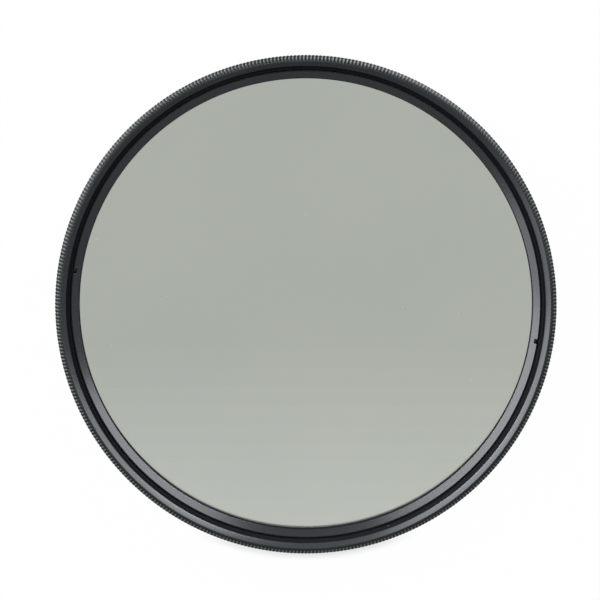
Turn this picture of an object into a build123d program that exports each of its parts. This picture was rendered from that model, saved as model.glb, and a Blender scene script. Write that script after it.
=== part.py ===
"""Screw-in polarising lens filter for an M82 x 0.75 filter thread.

A rear ring screws into the lens. A front ring, with the polarising pane held in it by a
threaded retaining ring, turns freely on the rear ring and is kept there by a snap wire that
lies half in a groove of each ring. Millimetres, +Z along the optical axis, front side up,
origin on the axis at the rear end of the mounting thread.
"""

import math
import os

from build123d import *

# Mounting thread, and the like thread in the front ring
thread_diameter = 82.0
thread_pitch = 0.75
thread_lead_in = 0.2
mount_thread_length = 2.3
mount_thread_wall = 0.84
front_thread_length = 1.25

# Front grip: dished face, narrow crest, knurled bevel and straight knurl
front_face_width = 0.7
front_face_drop = 0.6
crest_width = 0.08
front_bevel_width = 0.8
front_bevel_height = 0.65
knurl_pitch = 0.626
knurl_depth = 0.12
knurl_depth_at_crest = 0.25

# Turning joint between the rings
spigot_wall = 1.0
joint_clearance = 0.08
joint_depth = 1.3
turning_gap = 0.2
floor_clearance = 0.15
web_thickness = 0.7
rear_grip_wall = 1.1
rear_grip_chamfer = 0.25

# Snap wire that keeps the rings together
snap_wire_width = 0.5
snap_wire_gap_angle = 30.0
snap_groove_clearance = 0.04

# Pane, its seat and the ring that holds it
pane_thickness = 1.6
pane_clearance = 0.2
seat_width = 0.9
seat_thickness = 0.5
retaining_thickness = 1.7
retaining_width = 1.45
retaining_dish = 0.7
retaining_chamfer = 0.3
retaining_clearance = 0.05
thread_passing_clearance = 0.1
spanner_slot_width = 0.8
spanner_slot_reach = 0.95
spanner_slot_angle = -8.75

# Thread radii by the ISO metric profile
thread_radius = thread_diameter / 2
thread_root_radius = thread_radius - 0.6134 * thread_pitch
thread_minor_radius = thread_radius - 0.5413 * thread_pitch

# Radii, from the thread inward and outward
mount_bore_radius = thread_root_radius - mount_thread_wall
retaining_radius = thread_minor_radius - thread_passing_clearance
clear_radius = retaining_radius - retaining_width
holder_radius = retaining_radius + retaining_clearance
pane_radius = holder_radius - pane_clearance
seat_radius = holder_radius - seat_width
spigot_radius = holder_radius + spigot_wall
recess_radius = spigot_radius + joint_clearance
rear_grip_radius = recess_radius + rear_grip_wall
lip_radius = thread_radius + thread_lead_in
crest_radius = lip_radius + front_face_width
crest_tip_radius = crest_radius + crest_width + knurl_depth_at_crest
grip_tip_radius = crest_tip_radius + front_bevel_width
snap_ring_radius = (spigot_radius + recess_radius) / 2
snap_groove_width = snap_wire_width + 2 * snap_groove_clearance

# Heights of the stack, from the rear end upward
web_bottom = mount_thread_length
web_top = web_bottom + web_thickness
rear_grip_top = web_top + joint_depth
front_grip_bottom = rear_grip_top + turning_gap
spigot_bottom = web_top + floor_clearance
snap_wire_height = (spigot_bottom + rear_grip_top) / 2
pane_bottom = spigot_bottom + seat_thickness
pane_top = pane_bottom + pane_thickness
retaining_top = pane_top + retaining_thickness
lip_height = retaining_top + front_thread_length
crest_height = lip_height + front_face_drop
bevel_bottom = crest_height - front_bevel_height

knurl_count = round(2 * math.pi * grip_tip_radius / knurl_pitch)


def knurl_points(tip_radius, depth):
    """Corners of a knurled edge: a tip and a root for each tooth."""
    half_tooth = math.pi / knurl_count
    points = []
    for corner in range(2 * knurl_count):
        radius = tip_radius if corner % 2 == 0 else tip_radius - depth
        angle = corner * half_tooth
        points.append((radius * math.cos(angle), radius * math.sin(angle)))
    return points


# Rear ring: thread tube, web and grip, with the recess that the front ring turns in
with BuildPart() as rear_ring:
    with BuildSketch(Plane.XZ):
        with BuildLine():
            Polyline(
                (mount_bore_radius, 0),
                (thread_root_radius - thread_lead_in, 0),
                (thread_root_radius, thread_lead_in),
                (thread_root_radius, web_bottom),
                (rear_grip_radius - rear_grip_chamfer, web_bottom),
                (rear_grip_radius, web_bottom + rear_grip_chamfer),
                (rear_grip_radius, rear_grip_top),
                (recess_radius, rear_grip_top),
                (recess_radius, web_top),
                (mount_bore_radius, web_top),
                close=True,
            )
        make_face()
        # Outer half of the snap wire's groove
        with Locations((snap_ring_radius, snap_wire_height)):
            Rectangle(snap_groove_width, snap_groove_width, mode=Mode.SUBTRACT)
    revolve(axis=Axis.Z)
rear_ring.part.label = "rear_ring"


# Front ring: knurled grip that narrows along its bevel to the crest, a face that falls from
# the crest to the front thread, and the spigot that turns in the rear ring
with BuildPart() as front_ring:
    knurl_sections = (
        (front_grip_bottom, grip_tip_radius, knurl_depth),
        (bevel_bottom, grip_tip_radius, knurl_depth),
        (crest_height, crest_tip_radius, knurl_depth_at_crest),
    )
    for height, tip_radius, depth in knurl_sections:
        with BuildSketch(Plane.XY.offset(height)):
            with BuildLine():
                Polyline(*knurl_points(tip_radius, depth), close=True)
            make_face()
    loft(ruled=True)
    # Bore of the retaining ring, front thread with its lead-in, and the dished face
    with BuildSketch(Plane.XZ):
        with BuildLine():
            Polyline(
                (0, front_grip_bottom),
                (holder_radius, front_grip_bottom),
                (holder_radius, retaining_top),
                (thread_radius, retaining_top),
                (thread_radius, lip_height - thread_lead_in),
                (lip_radius, lip_height),
                (crest_radius, crest_height),
                (0, crest_height),
                close=True,
            )
        make_face()
    revolve(axis=Axis.Z, mode=Mode.SUBTRACT)
    with BuildSketch(Plane.XZ):
        with BuildLine():
            Polyline(
                (seat_radius, spigot_bottom),
                (spigot_radius, spigot_bottom),
                (spigot_radius, front_grip_bottom),
                (holder_radius, front_grip_bottom),
                (holder_radius, pane_bottom),
                (seat_radius, pane_bottom),
                close=True,
            )
        make_face()
        # Inner half of the snap wire's groove
        with Locations((snap_ring_radius, snap_wire_height)):
            Rectangle(snap_groove_width, snap_groove_width, mode=Mode.SUBTRACT)
    revolve(axis=Axis.Z)
front_ring.part.label = "front_ring"


# Polarising pane: the two glasses and the film between them are bonded into one disc
with BuildPart() as polariser_pane:
    with BuildSketch(Plane.XY.offset(pane_bottom)):
        Circle(pane_radius)
    extrude(amount=pane_thickness)
polariser_pane.part.label = "polariser_pane"


# Retaining ring: presses the pane on its seat, with a face that falls towards the pane and
# two slots for a spanner
with BuildPart() as retaining_ring:
    with BuildSketch(Plane.XZ):
        with BuildLine():
            Polyline(
                (clear_radius, pane_top),
                (retaining_radius, pane_top),
                (retaining_radius, retaining_top - retaining_chamfer),
                (retaining_radius - retaining_chamfer, retaining_top),
                (clear_radius, retaining_top - retaining_dish),
                close=True,
            )
        make_face()
    revolve(axis=Axis.Z)
    with BuildSketch(Plane.XY.offset(retaining_top)):
        slot_start = retaining_radius - spanner_slot_reach
        with PolarLocations(slot_start, 2, start_angle=spanner_slot_angle):
            Rectangle(2 * spanner_slot_reach, spanner_slot_width, align=(Align.MIN, Align.CENTER))
    extrude(amount=-retaining_thickness, mode=Mode.SUBTRACT)
retaining_ring.part.label = "retaining_ring"


# Snap wire: an open ring of square spring wire
with BuildPart() as snap_wire:
    with BuildSketch(Plane.XZ):
        with Locations((snap_ring_radius, snap_wire_height)):
            Rectangle(snap_wire_width, snap_wire_width)
    revolve(axis=Axis.Z, revolution_arc=360 - snap_wire_gap_angle)
snap_wire.part.label = "snap_wire"


os.makedirs("parts", exist_ok=True)
for piece in (rear_ring, front_ring, polariser_pane, retaining_ring, snap_wire):
    export_step(piece.part, f"parts/{piece.part.label}.step")

print(f"crest at {crest_height:.2f}, grip diameter {2 * grip_tip_radius:.2f}, {knurl_count} teeth")
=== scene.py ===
# %% [markdown]
# # A screw-in polarising lens filter
# A polarising filter is a grey pane in a pair of thin black rings. The rear ring screws into the
# lens, and the front ring, with the pane in it, turns on the rear one. The sizes and places come
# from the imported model, which is loaded first as a fixed frame. What is modelled here is what a
# close look shows: every tooth of the knurl, the fine threads, the turned edges and the finishes.

# %% Load the frame
import math

import bmesh
import bpy
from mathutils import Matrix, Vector


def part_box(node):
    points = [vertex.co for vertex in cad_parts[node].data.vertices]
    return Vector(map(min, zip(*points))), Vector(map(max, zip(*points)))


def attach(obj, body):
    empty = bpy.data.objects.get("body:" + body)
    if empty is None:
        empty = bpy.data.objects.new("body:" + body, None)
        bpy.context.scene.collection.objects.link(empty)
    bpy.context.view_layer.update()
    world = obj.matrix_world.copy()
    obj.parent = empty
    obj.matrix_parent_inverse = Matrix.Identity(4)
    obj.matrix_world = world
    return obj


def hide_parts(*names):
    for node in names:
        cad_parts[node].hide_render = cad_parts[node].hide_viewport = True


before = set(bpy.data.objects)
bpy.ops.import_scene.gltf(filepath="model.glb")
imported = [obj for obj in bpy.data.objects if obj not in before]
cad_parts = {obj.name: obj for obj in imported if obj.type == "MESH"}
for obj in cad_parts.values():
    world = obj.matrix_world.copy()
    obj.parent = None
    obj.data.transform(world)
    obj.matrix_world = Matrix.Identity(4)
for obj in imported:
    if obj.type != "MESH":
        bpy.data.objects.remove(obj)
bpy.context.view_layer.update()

# %% [markdown]
# ## Sizes
# Blender works in metres here, and a filter is measured in millimetres, so one value turns the
# one into the other. The main sizes are read off the frame's pieces. A box gives a ring's outer
# radius and its two ends. What no box shows, such as the depth of a tooth, is named below.

# %% Sizes in millimetres
MM = 0.001


def outer_size(node):
    """The outer radius of a round node, and the heights of its lower and upper end, in mm."""
    low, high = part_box(node)
    return high.x / MM, low.z / MM, high.z / MM


grip_radius, spigot_bottom, crest_height = outer_size("front_ring")
rear_radius, rear_bottom, rear_top = outer_size("rear_ring")
pane_radius, pane_bottom, pane_top = outer_size("polariser_pane")
retainer_radius, retainer_bottom, retainer_top = outer_size("retaining_ring")
_, wire_bottom, wire_top = outer_size("snap_wire")
print(f"rim {2 * grip_radius:.2f} mm across, {crest_height:.2f} mm thick")

# %% [markdown]
# ## Drawing and spinning by hand
# Every ring is turned on a lathe, and the Spin tool is Blender's lathe. An outline of half the
# section is drawn point by point with Extrude, and Spin carries it round the optical axis. The
# outline could also be a curve with a Screw modifier, but Spin leaves a mesh that can be shaped
# further in edit mode. These small helpers are the moves that every ring needs.

# %% Helpers for edit mode
WELD = 0.001 * MM


def start_piece(name):
    """A new object in edit mode with one vertex at the origin: a plane merged at its centre."""
    bpy.ops.object.select_all(action="DESELECT")
    bpy.ops.mesh.primitive_plane_add(size=MM)
    piece = bpy.context.object
    piece.name = name
    bpy.ops.object.mode_set(mode="EDIT")
    bpy.ops.mesh.select_all(action="SELECT")
    bpy.ops.mesh.merge(type="CENTER")
    return piece


def draw_outline(points, angle=0.0):
    """Extrudes the one vertex round a closed outline of (radius, height) points in mm."""
    here = Vector((0, 0, 0))
    for radius, height in points + points[:1]:
        there = Vector((radius * math.cos(angle), radius * math.sin(angle), height)) * MM
        if here.length == 0:
            bpy.ops.transform.translate(value=there)
        else:
            bpy.ops.mesh.extrude_region_move(TRANSFORM_OT_translate={"value": there - here})
        here = there
    weld()


def weld():
    """Merges the vertices that lie on each other."""
    bpy.ops.mesh.select_all(action="SELECT")
    bpy.ops.mesh.remove_doubles(threshold=WELD)


def spin(steps, angle=2 * math.pi, copies=False):
    """Spins all that is drawn about the optical axis and turns its faces outwards."""
    bpy.ops.mesh.select_all(action="SELECT")
    bpy.ops.mesh.spin(steps=steps, angle=angle, dupli=copies, center=(0, 0, 0), axis=(0, 0, 1))
    weld()
    bpy.ops.mesh.normals_make_consistent(inside=False)


def select(piece, test, kind="verts"):
    """Selects the vertices, edges or faces of the piece whose places, in mm, pass a test."""
    bpy.ops.mesh.select_all(action="DESELECT")
    mesh = bmesh.from_edit_mesh(piece.data)
    for item in getattr(mesh, kind):
        corners = [item] if kind == "verts" else item.verts
        item.select_set(all(test(corner.co / MM) for corner in corners))
    bmesh.update_edit_mesh(piece.data)


def leave_edit(piece, sharp_angle=30.0):
    """Goes back to object mode with smooth shading, broken at edges sharper than the angle."""
    bpy.ops.object.mode_set(mode="OBJECT")
    bpy.ops.object.shade_smooth_by_angle(angle=math.radians(sharp_angle))
    print(piece.name, len(piece.data.vertices), "vertices", len(piece.data.polygons), "faces")


def apply_modifier(piece, kind, **settings):
    """Adds a modifier with its settings and applies it."""
    modifier = piece.modifiers.new(kind, kind)
    for name, value in settings.items():
        setattr(modifier, name, value)
    bpy.ops.object.modifier_apply(modifier=modifier.name)


def join(piece, addition):
    """Joins the addition into the piece, as Ctrl J does."""
    bpy.ops.object.select_all(action="DESELECT")
    addition.select_set(True)
    piece.select_set(True)
    bpy.context.view_layer.objects.active = piece
    bpy.ops.object.join()


# %% [markdown]
# ## The knurled front ring
# The knurl is what the hand holds and the eye finds first: 432 straight teeth that run up the
# grip and over the bevel to the crest of the rim, from where a dished face falls to the thread. An
# array of 432 teeth on a plain ring would leave seams, so the ring is cut the other way, like a
# cake. One slice of the whole section, a tooth wide, is drawn and spun by one step. Its outer edges
# are then subdivided, which gives two new columns of vertices in the middle, and those are pulled
# out to the tooth's tip.

# %% Sizes of the front ring
TEETH = 432
TURNING_GAP = 0.2
JOINT_CLEARANCE = 0.08
SPIGOT_WALL = 1.0
SEAT_WIDTH = 0.9
RETAINER_CLEARANCE = 0.05
THREAD_RADIUS = 41.0
FRONT_THREAD_LENGTH = 1.25
LEAD_IN = 0.2
FACE_WIDTH = 0.7
CREST_WIDTH = 0.08
BEVEL_HEIGHT = 0.65
CREST_TOOTH_DEPTH = 0.25
GRIP_TOOTH_DEPTH = 0.065
GROOVE_HALF = 0.29

holder_radius = retainer_radius + RETAINER_CLEARANCE
seat_radius = holder_radius - SEAT_WIDTH
spigot_radius = holder_radius + SPIGOT_WALL
snap_radius = spigot_radius + JOINT_CLEARANCE / 2
lip_radius = THREAD_RADIUS + LEAD_IN
crest_radius = lip_radius + FACE_WIDTH
crest_root = crest_radius + CREST_WIDTH
crest_tip = crest_root + CREST_TOOTH_DEPTH
grip_root = grip_radius - GRIP_TOOTH_DEPTH

snap_height = (wire_bottom + wire_top) / 2
groove_bottom = snap_height - GROOVE_HALF
groove_top = snap_height + GROOVE_HALF
grip_bottom = rear_top + TURNING_GAP
lip_height = retainer_top + FRONT_THREAD_LENGTH
bevel_bottom = crest_height - BEVEL_HEIGHT
tooth_turn = 2 * math.pi / TEETH
print(f"spigot radius {spigot_radius:.4f} mm, lip at {lip_height:.2f} mm")

# %% One slice of the front ring
# Small rounds: the height of one, and how far the surfaces beside it run in or out over it
ROUND = 0.05
TIP_RUN, ROOT_RUN = 0.06, 0.07
CREST_ROUND = 0.03
FACE_RUN, FACE_RISE = 0.04, 0.035
LIP_RUN, LIP_DROP = 0.02, 0.03
# The grip's lower chamfer, at the tips and at the roots of the teeth
TIP_CHAMFER, ROOT_CHAMFER = 0.25, 0.2
ROOT_TAPER = 0.04

# Each row of the knurl: radius at the root, radius at the tip, height
knurl_rows = [
    (grip_root - ROOT_CHAMFER, grip_radius - TIP_CHAMFER, grip_bottom),
    (grip_root - ROOT_TAPER, grip_radius, grip_bottom + TIP_CHAMFER),
    (grip_root, grip_radius, bevel_bottom - ROUND),
    (grip_root - ROOT_RUN, grip_radius - TIP_RUN, bevel_bottom + ROUND),
    (crest_root + ROOT_RUN, crest_tip + TIP_RUN, crest_height - ROUND),
    (crest_root, crest_tip - CREST_ROUND, crest_height),
]
bore_rows = [
    (crest_radius + CREST_ROUND, crest_height),
    (crest_radius - FACE_RUN, crest_height - ROUND),
    (lip_radius + FACE_RUN, lip_height + FACE_RISE),
    (lip_radius - LIP_RUN, lip_height - LIP_DROP),
    (THREAD_RADIUS, lip_height - LEAD_IN),
    (THREAD_RADIUS, retainer_top),
    (holder_radius, retainer_top),
    (holder_radius, pane_bottom),
    (seat_radius + ROUND, pane_bottom),
    (seat_radius, pane_bottom - ROUND),
    (seat_radius, spigot_bottom + ROUND),
    (seat_radius + ROUND, spigot_bottom),
]
spigot_rows = [
    (spigot_radius - ROUND, spigot_bottom),
    (spigot_radius, spigot_bottom + ROUND),
    (spigot_radius, groove_bottom),
    (snap_radius - GROOVE_HALF, groove_bottom),
    (snap_radius - GROOVE_HALF, groove_top),
    (spigot_radius, groove_top),
    (spigot_radius, grip_bottom),
]
front_ring = start_piece("knurled_front_ring")
slice_outline = [(root, height) for root, tip, height in knurl_rows] + bore_rows + spigot_rows
draw_outline(slice_outline, angle=tooth_turn / 2)
spin(steps=1, angle=tooth_turn)
print("one slice has", len(slice_outline), "faces before its tooth is raised")

# %% Raise the tooth and copy the slice round
TIP_FLAT = 0.4
NEAR = 0.01
knurl_inside = (crest_radius + CREST_ROUND + crest_root) / 2


def on_knurl(place):
    """True outside the smooth bore and above the turning gap."""
    return math.hypot(place.x, place.y) > knurl_inside and place.z > grip_bottom - NEAR


def across_slice(mesh_edge):
    """True for an edge that runs round the ring, from one side of the slice to the other."""
    one, other = (corner.co for corner in mesh_edge.verts)
    return abs(one.z - other.z) < WELD and one.y * other.y < 0


bpy.ops.mesh.select_all(action="DESELECT")
slice_mesh = bmesh.from_edit_mesh(front_ring.data)
for mesh_edge in slice_mesh.edges:
    in_knurl = all(on_knurl(corner.co / MM) for corner in mesh_edge.verts)
    mesh_edge.select_set(in_knurl and across_slice(mesh_edge))
bmesh.update_edit_mesh(front_ring.data)
bpy.ops.mesh.subdivide(number_cuts=2)

half_slice = grip_radius * tooth_turn / 2
for root, tip, height in knurl_rows:
    def in_row(place):
        return on_knurl(place) and abs(place.y) < half_slice / 2 and abs(place.z - height) < NEAR
    select(front_ring, in_row)
    bpy.ops.transform.resize(value=(1, TIP_FLAT, 1), center_override=(0, 0, 0))
    pull = tip - root * math.cos(tooth_turn / 2)
    bpy.ops.transform.translate(value=(pull * MM, 0, 0))

spin(steps=TEETH - 1, angle=tooth_turn * (TEETH - 1), copies=True)
leave_edit(front_ring)

# %% [markdown]
# ## The fine threads
# The lens thread has a pitch of 0.75 mm, so a ring shows barely two or three turns of it. A thread
# is a ridge that climbs as it goes round, which is just what the Screw modifier makes. The helix
# is made longer than it has to be and cut level with Bisect at both ends. That leaves the thin
# tapering start that a real thread has where it runs out of the ring's end.

# %% A thread as a ridge on a wall
THREAD_PITCH = 0.75
THREAD_STEPS = 216
RIDGE_SINK = 0.03
RIDGE_BASE_HALF = 0.36
RIDGE_TIP_HALF = 0.06


def thread_ridge(name, wall_radius, tip_radius, bottom, top):
    """A helical ridge on the wall between two heights, its base sunk a little into the wall."""
    base_radius = wall_radius + math.copysign(RIDGE_SINK, wall_radius - tip_radius)
    start = bottom - THREAD_PITCH
    ridge = start_piece(name)
    draw_outline([
        (base_radius, start - RIDGE_BASE_HALF),
        (tip_radius, start - RIDGE_TIP_HALF),
        (tip_radius, start + RIDGE_TIP_HALF),
        (base_radius, start + RIDGE_BASE_HALF),
    ])
    bpy.ops.object.mode_set(mode="OBJECT")
    turns = math.ceil((top - bottom) / THREAD_PITCH) + 2
    apply_modifier(
        ridge, "SCREW", axis="Z", screw_offset=THREAD_PITCH * MM, iterations=turns,
        steps=THREAD_STEPS, render_steps=THREAD_STEPS,
    )
    bpy.ops.object.mode_set(mode="EDIT")
    for height, clear_below in ((bottom, True), (top, False)):
        bpy.ops.mesh.select_all(action="SELECT")
        bpy.ops.mesh.bisect(
            plane_co=(0, 0, height * MM), plane_no=(0, 0, 1), use_fill=True,
            clear_inner=clear_below, clear_outer=not clear_below, threshold=WELD / 10,
        )
    weld()
    bpy.ops.mesh.normals_make_consistent(inside=False)
    leave_edit(ridge)
    return ridge


# Shares of the pitch by which an inside thread's tips and an outside thread's roots lie inward
INSIDE_TIP, OUTSIDE_ROOT = 0.5413, 0.6134
RIDGE_GAP = 0.04
minor_radius = THREAD_RADIUS - INSIDE_TIP * THREAD_PITCH
root_radius = THREAD_RADIUS - OUTSIDE_ROOT * THREAD_PITCH
front_thread = thread_ridge(
    "front_thread", THREAD_RADIUS, minor_radius,
    bottom=retainer_top + RIDGE_GAP, top=lip_height - LEAD_IN - RIDGE_GAP / 2,
)
join(front_ring, front_thread)

# %% [markdown]
# ## The rear ring
# The rear ring carries the lens thread on a thin tube, a web above it, and a plain turned grip.
# Its upper side is the recess that the front ring turns in, with half of the snap wire's groove.
# It is a simple turned piece, so its whole outline is spun at once, and a Bevel modifier breaks
# every sharp edge as a file would. Hardened normals keep the flat faces flat beside the bevel.

# %% Rear ring
RING_STEPS = 288
TUBE_WALL = 0.84
WEB_BOTTOM = 2.3
WEB_THICKNESS = 0.7
REAR_CHAMFER = 0.25
TOP_CHAMFER = 0.15
tube_inside = root_radius - TUBE_WALL
recess_radius = spigot_radius + JOINT_CLEARANCE
web_top = WEB_BOTTOM + WEB_THICKNESS

rear_ring = start_piece("rear_mount_ring")
draw_outline([
    (tube_inside, rear_bottom),
    (root_radius - LEAD_IN, rear_bottom),
    (root_radius, rear_bottom + LEAD_IN),
    (root_radius, WEB_BOTTOM),
    (rear_radius - REAR_CHAMFER, WEB_BOTTOM),
    (rear_radius, WEB_BOTTOM + REAR_CHAMFER),
    (rear_radius, rear_top - TOP_CHAMFER),
    (rear_radius - TOP_CHAMFER, rear_top),
    (recess_radius, rear_top),
    (recess_radius, groove_top),
    (snap_radius + GROOVE_HALF, groove_top),
    (snap_radius + GROOVE_HALF, groove_bottom),
    (recess_radius, groove_bottom),
    (recess_radius, web_top),
    (tube_inside, web_top),
])
spin(RING_STEPS)
leave_edit(rear_ring)

# %% Its edges and its thread
SHARP = math.radians(30)
REAR_EDGE = 0.04
THREAD_START = 0.12


def break_edges(piece, width):
    """A Bevel modifier on every edge that is sharper than a set angle."""
    apply_modifier(
        piece, "BEVEL", width=width * MM, segments=2, limit_method="ANGLE",
        angle_limit=SHARP, harden_normals=True,
    )


break_edges(rear_ring, REAR_EDGE)
mount_thread = thread_ridge(
    "mount_thread", root_radius, THREAD_RADIUS,
    bottom=rear_bottom + THREAD_START, top=WEB_BOTTOM,
)
join(rear_ring, mount_thread)

# %% [markdown]
# ## The retaining ring
# This narrow ring is screwed down on the pane. Its face falls towards the pane like that of the
# front ring, and is the bright inner band in the picture. Its inner wall leans back a little, and
# its outer edge has a small chamfer. Two slots, opposite each other, take the pins of a spanner.
# They are cut with a Boolean modifier before the edges are broken, so that the slots' edges are
# broken too.

# %% Retaining ring
RETAINER_WIDTH = 1.45
RETAINER_DISH = 0.7
RETAINER_CHAMFER = 0.22
WALL_FOOT, WALL_LEAN = 0.03, 0.1
retainer_inside = retainer_radius - RETAINER_WIDTH

retainer = start_piece("pane_retainer")
draw_outline([
    (retainer_inside - WALL_FOOT, retainer_bottom),
    (retainer_radius, retainer_bottom),
    (retainer_radius, retainer_top - RETAINER_CHAMFER),
    (retainer_radius - RETAINER_CHAMFER, retainer_top),
    (retainer_inside + WALL_LEAN, retainer_top - RETAINER_DISH),
])
spin(RING_STEPS)
leave_edit(retainer)

# %% Its two slots
SLOT_WIDTH = 0.8
SLOT_REACH = 0.68
SLOT_ANGLE = math.radians(-8.75)
CUTTER_LENGTH, CUTTER_HEIGHT = 2.0, 5.0
RETAINER_EDGE = 0.035

cutter_scale = Vector((CUTTER_LENGTH, SLOT_WIDTH, CUTTER_HEIGHT)) * MM
slot_middle = retainer_radius - SLOT_REACH + CUTTER_LENGTH / 2
for turn in (SLOT_ANGLE, SLOT_ANGLE + math.pi):
    place = Vector((slot_middle * math.cos(turn), slot_middle * math.sin(turn), retainer_top))
    bpy.ops.object.select_all(action="DESELECT")
    bpy.ops.mesh.primitive_cube_add(
        size=1, location=place * MM, rotation=(0, 0, turn), scale=cutter_scale,
    )
    cutter = bpy.context.object
    bpy.ops.object.select_all(action="DESELECT")
    bpy.context.view_layer.objects.active = retainer
    apply_modifier(retainer, "BOOLEAN", object=cutter, operation="DIFFERENCE", solver="EXACT")
    bpy.data.objects.remove(cutter)
retainer.select_set(True)
break_edges(retainer, RETAINER_EDGE)
print(retainer.name, len(retainer.data.polygons), "faces with its slots")

# %% [markdown]
# ## The pane
# Two glasses with the polarising film between them are bonded into one disc with ground edges. A
# cylinder is the right start. Bevel on its two rim loops gives the ground edge.

# %% Polarising pane
GROUND_EDGE = 0.12
FINE_ANGLE = 20.0
bpy.ops.object.select_all(action="DESELECT")
bpy.ops.mesh.primitive_cylinder_add(
    vertices=RING_STEPS, radius=pane_radius * MM, depth=(pane_top - pane_bottom) * MM,
    location=(0, 0, (pane_top + pane_bottom) / 2 * MM),
)
pane = bpy.context.object
pane.name = "polarising_pane"
bpy.ops.object.transform_apply(location=True, rotation=True, scale=True)
bpy.ops.object.mode_set(mode="EDIT")
bpy.ops.mesh.select_all(action="DESELECT")
pane_mesh = bmesh.from_edit_mesh(pane.data)
for mesh_edge in pane_mesh.edges:
    one, other = (corner.co.z for corner in mesh_edge.verts)
    mesh_edge.select_set(abs(one - other) < WELD)
bmesh.update_edit_mesh(pane.data)
bpy.ops.mesh.bevel(offset=GROUND_EDGE * MM, offset_type="OFFSET", segments=1, affect="EDGES")
leave_edit(pane, sharp_angle=FINE_ANGLE)

# %% [markdown]
# ## Shader sums in plain Python
# A finish is a small sum of noises, masks and colours. Written node by node it fills pages, so one
# class wraps a socket: adding or multiplying two of them adds a Math node, and its node method
# adds any other node, with its settings first and then the values or links of its sockets.

# %% A wire between nodes
class Wire:
    """An output socket of a node tree, with Python's operators as Math nodes."""

    def __init__(self, tree, socket=None):
        self.tree = tree
        self.socket = socket

    def node(self, kind, settings=None, values=None, output=0):
        node = self.tree.nodes.new(kind)
        for name, value in (settings or {}).items():
            setattr(node, name, value)
        for name, value in (values or {}).items():
            if isinstance(value, Wire):
                self.tree.links.new(value.socket, node.inputs[name])
            else:
                node.inputs[name].default_value = value
        return Wire(self.tree, node.outputs[output] if node.outputs else None)

    def maths(self, operation, first, second):
        return self.node("ShaderNodeMath", {"operation": operation}, {0: first, 1: second})

    def __add__(self, other):
        return self.maths("ADD", self, other)

    def __sub__(self, other):
        return self.maths("SUBTRACT", self, other)

    def __rsub__(self, other):
        return self.maths("SUBTRACT", other, self)

    def __mul__(self, other):
        return self.maths("MULTIPLY", self, other)

    def __pow__(self, other):
        return self.maths("POWER", self, other)

    def __lt__(self, other):
        return self.maths("LESS_THAN", self, other)

    __radd__ = __add__

    def most(self, other):
        return self.maths("MAXIMUM", self, other)

    def fade(self, start, end):
        """0 up to start, 1 from end, and a smooth step between."""
        values = {"Value": self, "From Min": start, "From Max": end}
        return self.node("ShaderNodeMapRange", {"interpolation_type": "SMOOTHSTEP"}, values)

    def noise(self, size, detail=2.0):
        """3-D noise at these Object coordinates, with features of about this size."""
        return self.node("ShaderNodeTexNoise", {}, {
            "Vector": self, "Scale": 1 / size, "Detail": detail,
        })

    def bands(self, width):
        """Noise in one dimension along this distance: streaks of about this width."""
        values = {"W": self * (1 / width), "Scale": 1.0}
        return self.node("ShaderNodeTexNoise", {"noise_dimensions": "1D"}, values)

    def blend(self, colour, other):
        """One colour where this mask is 0, the other where it is 1."""
        values = {"Factor": self, 6: colour, 7: other}
        return self.node("ShaderNodeMix", {"data_type": "RGBA"}, values, output=2)


def new_finish(name):
    """An empty node material and a wire to add its nodes with."""
    material = bpy.data.materials.new(name)
    material.use_nodes = True
    material.node_tree.nodes.clear()
    return material, Wire(material.node_tree)


def shine(wire, values):
    """The Principled shader and the Output that every finish ends in."""
    shader = wire.node("ShaderNodeBsdfPrincipled", {}, values)
    wire.node("ShaderNodeOutputMaterial", {}, {"Surface": shader})


def coordinates(wire):
    """Object coordinates: the vector, the radius from the optical axis and the height."""
    place = wire.node("ShaderNodeTexCoord", output="Object")
    x = wire.node("ShaderNodeSeparateXYZ", {}, {"Vector": place}, output="X")
    y = wire.node("ShaderNodeSeparateXYZ", {}, {"Vector": place}, output="Y")
    z = wire.node("ShaderNodeSeparateXYZ", {}, {"Vector": place}, output="Z")
    return place, (x * x + y * y) ** 0.5, z


RARITY = 6.0


def dust(wire, place, cell, largest):
    """Sparse specks: balls round the points of a Voronoi pattern, most of them next to nothing."""
    cells = {"Vector": place, "Scale": 1 / (cell * MM)}
    distance = wire.node("ShaderNodeTexVoronoi", {}, cells, output="Distance")
    colour = wire.node("ShaderNodeTexVoronoi", {}, cells, output="Color")
    chance = wire.node("ShaderNodeSeparateColor", {}, {"Color": colour}, output="Red")
    return distance < chance ** RARITY * (largest / cell)


# %% [markdown]
# ## Black anodised aluminium
# Anodising leaves a hard, dyed skin that shines like a satin varnish on a dark ground. The tool
# that turned the ring left fine concentric marks, which a noise in one dimension, run along the
# radius and the height, repeats all round. A little grain breaks the shine, and specks of dust sit
# here and there. The gaps of the knurl get a pale colour, a painted highlight that stands in for
# the light their floors reflect. How far a point lies below the tips of the teeth tells a gap from
# a tooth, and the painted highlight thins out towards the crest. How strongly each skin shines is
# set by its index of refraction.

# %% Painted highlight in the knurl gaps
TIP_LEAN = 1.23
DEEPENING = 0.26
GAP_START = 0.45
GAP_BLEND = 0.05 * MM
PLAIN_GAPS_FROM, HIGHLIGHT_GAPS_TO = 0.48 * MM, 0.22 * MM


def painted_gap_highlight(radius, height):
    """The painted highlight's mask: 1 in the gaps, 0 on the tips of the teeth and near the crest."""
    climb = (height - bevel_bottom * MM).most(0.0)
    depth = grip_radius * MM - climb * TIP_LEAN - radius
    deepest = GRIP_TOOTH_DEPTH * MM + climb * DEEPENING
    between = (depth - deepest * GAP_START).fade(0.0, GAP_BLEND)
    return between * climb.fade(PLAIN_GAPS_FROM, HIGHLIGHT_GAPS_TO)


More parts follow.
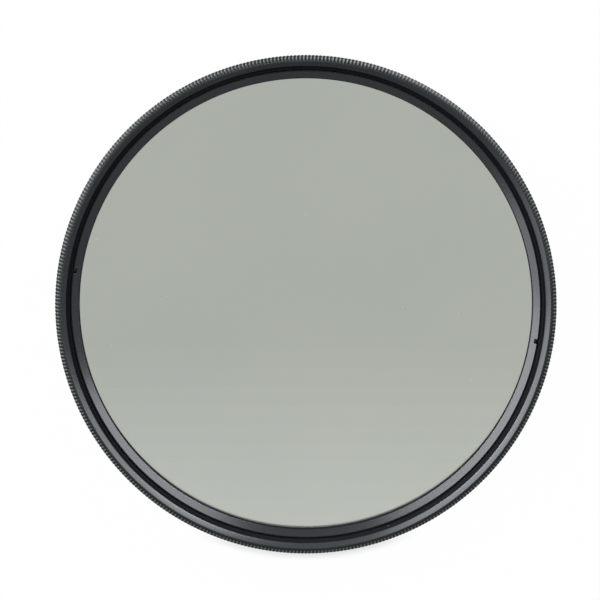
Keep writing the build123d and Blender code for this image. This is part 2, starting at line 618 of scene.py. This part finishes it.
# %% Anodised finish
MARK_WIDTH = 0.05 * MM
MARK_CLIMB = 0.8
GRAIN_SIZE = 0.09 * MM
CLOUD_SIZE = 14 * MM
WEAR, KNURL_WEAR = 0.35, 0.035
MARK_ROUGHNESS, GRAIN_ROUGHNESS, DUST_ROUGHNESS = 0.10, 0.12, 0.4
RELIEF = 0.0016 * MM
GRAIN_RELIEF = 0.6
DUST_CELL, DUST_SIZE = 1.3, 0.12
DUST_GREY = (0.16, 0.16, 0.155, 1)


def anodised(name, ground, worn_and_gap_light, roughness, mirror, knurl=False):
    """A dyed skin: its colour, worn colour (knurl: the gaps' painted highlight), roughness and
    index.
    """
    material, wire = new_finish(name)
    place, radius, height = coordinates(wire)
    marks = (radius + height * MARK_CLIMB).bands(MARK_WIDTH)
    grain = place.noise(GRAIN_SIZE, detail=3.0)
    specks = dust(wire, place, DUST_CELL, DUST_SIZE)

    wear_and_gap_light = place.noise(CLOUD_SIZE).fade(0.45, 0.75) * (KNURL_WEAR if knurl else WEAR)
    if knurl:
        # On the knurl the gaps take the second colour: a painted highlight, not wear
        wear_and_gap_light = wear_and_gap_light + painted_gap_highlight(radius, height) * grain.fade(0.1, 0.6)
    colour = specks.blend(wear_and_gap_light.blend((*ground, 1), (*worn_and_gap_light, 1)), DUST_GREY)
    uneven = (marks - 0.5) * MARK_ROUGHNESS + (grain - 0.5) * GRAIN_ROUGHNESS
    bump = wire.node("ShaderNodeBump", {}, {
        "Strength": 1.0, "Distance": RELIEF, "Height": marks + grain * GRAIN_RELIEF,
    })
    shine(wire, {
        "Base Color": colour, "Roughness": roughness + uneven + specks * DUST_ROUGHNESS,
        "IOR": mirror, "Normal": bump,
    })
    print("finish", name, len(material.node_tree.nodes), "nodes")
    return material


# %% The black skins
front_black = anodised(
    "front_anodised_black", (0.021, 0.0223, 0.0234), (0.029, 0.0303, 0.0306),
    roughness=0.29, mirror=1.696,
)
# Its second colour is mostly the painted highlight in the gaps of the knurl
knurl_black = anodised(
    "knurl_anodised_black", (0.0081, 0.0085, 0.0097), (0.21, 0.218, 0.203),
    roughness=0.38, mirror=1.288, knurl=True,
)
rear_black = anodised(
    "rear_anodised_black", (0.008, 0.008, 0.0097), (0.0226, 0.0226, 0.0242),
    roughness=0.30, mirror=1.68,
)
retainer_black = anodised(
    "retainer_anodised_black", (0.008, 0.008, 0.0097), (0.016, 0.016, 0.0177),
    roughness=0.23, mirror=1.936,
)
# A pale ground on the retaining ring's outer chamfer: painted light, as that face lies in shade
painted_light_chamfer_black = anodised(
    "chamfer_painted_light_black", (0.121, 0.121, 0.126), (0.145, 0.145, 0.15),
    roughness=0.5, mirror=1.397,
)
matt_black = anodised(
    "matt_thread_black", (0.008, 0.008, 0.01), (0.0113, 0.0113, 0.0137),
    roughness=0.6, mirror=1.168,
)

# %% [markdown]
# ## Polarising glass
# The film takes away more than half of the light and leaves a faintly green grey. The glass is
# coated, so it mirrors less than bare glass does, which is set with a low index of refraction.
# Light passes two surfaces, and each one gives it the root of the colour that is set here.

# %% Glass finish
FILM, PALE_FILM = (0.416, 0.442, 0.404, 1), (0.426, 0.451, 0.412, 1)
GLASS_DUST = (0.62, 0.64, 0.61, 1)
GLASS_DUST_CELL, GLASS_DUST_SIZE = 2.4, 0.1
FILM_CLOUD = 30 * MM
EDGE_BLEND = 0.04


def polarising_glass(name):
    """Clear grey glass with a ground edge and a little dust."""
    material, wire = new_finish(name)
    place, radius, _ = coordinates(wire)
    specks = dust(wire, place, GLASS_DUST_CELL, GLASS_DUST_SIZE)
    film = place.noise(FILM_CLOUD, detail=1.0).fade(0.3, 0.7).blend(FILM, PALE_FILM)
    rim = pane_radius - GROUND_EDGE
    ground_edge = radius.fade((rim - EDGE_BLEND) * MM, (rim + EDGE_BLEND) * MM)
    shine(wire, {
        "Base Color": specks.blend(film, GLASS_DUST),
        "Roughness": ground_edge * 0.5 + specks * 0.3,
        "IOR": 1.4, "Transmission Weight": 1.0,
    })
    print("finish", name, len(material.node_tree.nodes), "nodes")
    return material


grey_glass = polarising_glass("polarising_glass")

# %% [markdown]
# ## Spring wire
# The snap wire is bright drawn steel. Drawing leaves streaks along the wire, which here means
# bands of one radius and height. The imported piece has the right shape, so it only gets the finish.

# %% Steel finish
STREAK_WIDTH = 0.03 * MM
STAIN_SIZE = 2 * MM
BRIGHT_STEEL, STAINED_STEEL = (0.56, 0.55, 0.53, 1), (0.36, 0.34, 0.31, 1)


def drawn_steel(name):
    """Bright steel with streaks along the wire and slight stains."""
    material, wire = new_finish(name)
    place, radius, height = coordinates(wire)
    streaks = (radius + height).bands(STREAK_WIDTH)
    stain = place.noise(STAIN_SIZE, detail=3.0).fade(0.45, 0.7)
    shine(wire, {
        "Base Color": stain.blend(BRIGHT_STEEL, STAINED_STEEL), "Metallic": 1.0,
        "Roughness": 0.24 + streaks * 0.16 + stain * 0.12,
    })
    print("finish", name, len(material.node_tree.nodes), "nodes")
    return material


spring_steel = drawn_steel("drawn_spring_steel")

# %% [markdown]
# ## Putting the pieces on their bodies
# Each new piece stands for a imported node, rides on that node's body and takes its finish. The
# front ring, its pane and the retaining ring turn together on the rear ring. Some faces then get a
# finish of their own: the front thread and the retaining ring's inner wall are matt, that ring's
# outer chamfer is paler as painted light on a face in shade, and the knurl's gaps get a pale
# colour as a painted highlight.

# %% Dress the pieces
def dress(piece, finish, node, body):
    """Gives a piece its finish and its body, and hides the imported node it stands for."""
    piece.data.materials.clear()
    piece.data.materials.append(finish)
    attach(piece, body)
    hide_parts(node)
    print(piece.name, "rides on", body)


def paint(piece, finish, inside, outside):
    """Gives a finish of its own to the faces between two distances from the axis, in mm."""
    piece.data.materials.append(finish)
    bpy.ops.object.select_all(action="DESELECT")
    bpy.context.view_layer.objects.active = piece
    bpy.ops.object.mode_set(mode="EDIT")
    select(piece, lambda place: inside < math.hypot(place.x, place.y) < outside, "faces")
    piece.active_material_index = len(piece.data.materials) - 1
    bpy.ops.object.material_slot_assign()
    bpy.ops.object.mode_set(mode="OBJECT")


dress(front_ring, front_black, "front_ring", "rotator")
dress(retainer, retainer_black, "retaining_ring", "rotator")
dress(pane, grey_glass, "polariser_pane", "rotator")
dress(rear_ring, rear_black, "rear_ring", "mount")

# %% Faces with a finish of their own
paint(front_ring, matt_black, 0.0, lip_radius - NEAR)
# The knurl's finish, with the painted highlight in its gaps
paint(front_ring, knurl_black, crest_root - NEAR, math.inf)
paint(retainer, matt_black, 0.0, retainer_inside + WALL_LEAN + NEAR)
# Painted light: a pale colour on the shaded outer chamfer of the retaining ring
paint(retainer, painted_light_chamfer_black, retainer_radius - RETAINER_CHAMFER + NEAR, math.inf)
snap_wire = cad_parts["snap_wire"]
snap_wire.data.materials.clear()
snap_wire.data.materials.append(spring_steel)
print("finishes of the front ring", [slot.name for slot in front_ring.data.materials])

# %% [markdown]
# ## Floor and surroundings
# The picture has a plain white ground. A floor that is only lit would come out grey in places, so
# most of it glows at a strength of 1 for what the camera sees, also in a mirror or through the
# glass. The rest of it is a plain matt white, which takes the shadows. Just in front of the rim the
# glow is weaker, so that the soft shadow where the filter rests shows there.

# %% Floor
FLOOR_SIZE = 4.0
FLOOR_DROP = 0.02
GLOW, LESS_GLOW = 0.985, 0.33
FRONT_FROM, FRONT_TO = 2.6, -0.6
SHADE_END, SHADE_FULL = 3.2, 1.6
bpy.ops.object.select_all(action="DESELECT")
bpy.ops.mesh.primitive_plane_add(size=FLOOR_SIZE, location=(0, 0, -FLOOR_DROP * MM))
floor = bpy.context.object
floor.name = "white_floor"
floor_white, wire = new_finish("white_floor")
seen = wire.node("ShaderNodeLightPath", output="Is Camera Ray")
mirrored = wire.node("ShaderNodeLightPath", output="Is Glossy Ray")
through = wire.node("ShaderNodeLightPath", output="Is Transmission Ray")
place, from_axis, _ = coordinates(wire)
forward = wire.node("ShaderNodeSeparateXYZ", {}, {"Vector": place}, output="Y")
in_front = forward.fade((FRONT_FROM - grip_radius) * MM, (FRONT_TO - grip_radius) * MM)
near_rim = from_axis.fade((grip_radius + SHADE_END) * MM, (grip_radius + SHADE_FULL) * MM)
share = GLOW - in_front * near_rim * LESS_GLOW
glow = wire.node("ShaderNodeEmission", {}, {"Color": (1, 1, 1, 1), "Strength": 1.0})
matt = wire.node("ShaderNodeBsdfDiffuse", {}, {"Color": (0.94, 0.93, 0.91, 1)})
surface = wire.node("ShaderNodeMixShader", {}, {
    "Fac": seen.most(mirrored).most(through) * share, 1: matt, 2: glow,
})
wire.node("ShaderNodeOutputMaterial", {}, {"Surface": surface})
floor.data.materials.append(floor_white)
print("floor", FLOOR_SIZE, "m square")

# %% World
world = bpy.data.worlds.new("dim_studio")
bpy.context.scene.world = world
world.use_nodes = True
ambient = world.node_tree.nodes["Background"].inputs
ambient["Color"].default_value = (0.88, 0.96, 1.0, 1)
ambient["Strength"].default_value = 0.31
print("world strength", ambient["Strength"].default_value)

# %% [markdown]
# ## Lamps
# Black rings show hardly any colour of their own: they mirror the lamps. Both dished faces lean
# inwards, so each stretch of them mirrors a lamp on the opposite side, low in the sky. Two soft
# boxes, on the right and on the left behind the filter, make the two bright stretches in front, and
# a weak one fills in on the left. Two low lamps behind light the pale, painted highlight in the gaps
# of the knurl. The pane lies flat and mirrors what is overhead: a row of narrow strips, each
# brighter than the last, makes its near half paler towards the front.

# %% Lamps
def card(name, place, aim, size, watts, tint=(0.94, 0.97, 1.0)):
    """A rectangular area lamp at a place that faces a point, all in metres."""
    lamp = bpy.data.lights.new(name, "AREA")
    lamp.shape = "RECTANGLE"
    lamp.size, lamp.size_y = size
    lamp.energy = watts
    lamp.color = tint
    holder = bpy.data.objects.new(name, lamp)
    bpy.context.scene.collection.objects.link(holder)
    holder.location = place
    holder.rotation_euler = (Vector(aim) - Vector(place)).to_track_quat("-Z", "Y").to_euler()
    print(name, "at", place)


BOX_AIM, LOW_AIM = (0, 0, 0.25), (0, 0, 0)
BOX_TALL, LOW_TALL = 0.75, 0.12
card("right_box", (0.76, 0.64, 0.47), BOX_AIM, (0.98, BOX_TALL), 6.45)
card("left_box", (-0.87, 0.49, 0.47), BOX_AIM, (1.45, BOX_TALL), 11.2)
card("left_fill", (-0.95, -0.36, 0.47), BOX_AIM, (0.45, BOX_TALL), 1.3)
card("back_right", (0.62, 1.03, 0.065), LOW_AIM, (0.6, LOW_TALL), 8.7)
card("back_left", (-0.98, 0.69, 0.065), LOW_AIM, (0.8, LOW_TALL), 6.5)

# %% Strips overhead
STRIPS = 10
STRIP_LENGTH, STRIP_WIDTH = 0.22, 0.008
STRIP_HEIGHT = 0.6
STRIPS_START = -0.085
STRIP_WATTS = 0.0014
for step in range(STRIPS):
    middle = step + 0.5
    across = STRIPS_START - STRIP_WIDTH * middle
    card(
        f"overhead_{step}", (0, across, STRIP_HEIGHT), (0, across, 0),
        (STRIP_LENGTH, STRIP_WIDTH), STRIP_WATTS * middle, tint=(1, 1, 1),
    )

# %% [markdown]
# ## Camera
# The camera looks almost straight down, tipped a little so that the far wall of the thread hides
# and the near one shows. It stands well back, as for a catalogue picture, which keeps the rings
# nearly round. The lens is worked out from how wide the picture is at the front face.

# %% Camera
DISTANCE = 420.0
TILT = math.radians(6.25)
PICTURE_WIDTH = 102.85
SENSOR = 36.0
sight = Vector((-1.01, 1.235, lip_height))
camera_data = bpy.data.cameras.new("picture_camera")
camera_data.sensor_width = SENSOR
camera_data.lens = SENSOR * DISTANCE / PICTURE_WIDTH
camera = bpy.data.objects.new("picture_camera", camera_data)
bpy.context.scene.collection.objects.link(camera)
camera.location = (sight + DISTANCE * Vector((0, math.sin(TILT), math.cos(TILT)))) * MM
camera.rotation_euler = (-TILT, 0, 0)
bpy.context.scene.camera = camera
bpy.context.scene.view_settings.view_transform = "Standard"
print(f"lens {camera_data.lens:.1f} mm")
